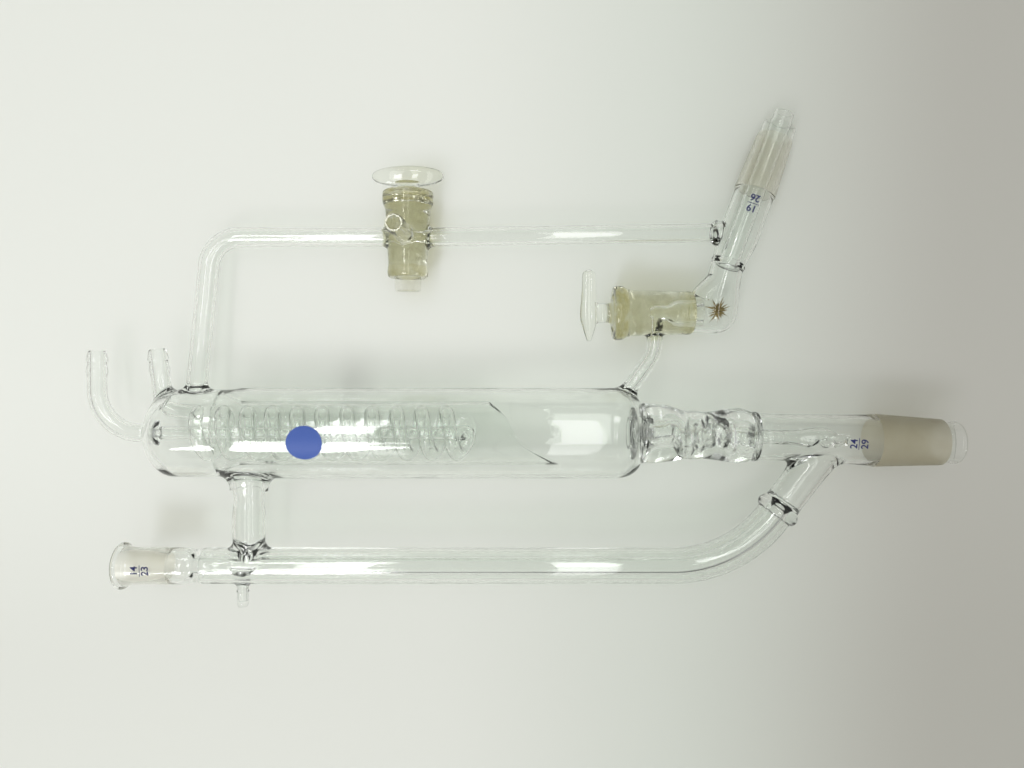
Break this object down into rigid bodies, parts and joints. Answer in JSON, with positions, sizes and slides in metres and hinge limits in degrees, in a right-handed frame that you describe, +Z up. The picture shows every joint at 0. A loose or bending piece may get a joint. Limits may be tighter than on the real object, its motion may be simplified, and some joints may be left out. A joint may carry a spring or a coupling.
{
  "type": "distillation head",
  "caption": "Glass distillation head: coil condenser, jacketed vapour tube, liquid seal, vent and take-off stopcocks with turning keys, and tapered ground joints.",
  "frame": {"origin": "centre of the bounding box's base, on the bench that the head lies on", "axes": "+X along the condenser from its dome to the flask cone, +Y towards the vent line, +Z up from the bench"},
  "size_m": [0.396, 0.2256, 0.0464],
  "materials": {
    "clear_glass": "clear borosilicate glass, ground and greased at the joints",
    "vent_key_glass": "ground glass yellowed by old grease",
    "takeoff_key_glass": "ground glass with amber grease"
  },
  "bodies": {
    "head": {"glass_body": "clear_glass"},
    "vent_key": {"vent_key": "vent_key_glass"},
    "takeoff_key": {"takeoff_key": "takeoff_key_glass"}
  },
  "joints": [
    {"name": "vent_key_turn", "type": "hinge", "parent": "head", "child": "vent_key", "pos_m": [-0.05206, 0.07559, 0.01146], "axis": [0, 0.9966, -0.0825], "continuous": true},
    {"name": "takeoff_key_turn", "type": "hinge", "parent": "head", "child": "takeoff_key", "pos_m": [0.04114, 0.02078, 0.016], "axis": [1, 0, 0], "continuous": true}
  ]
}
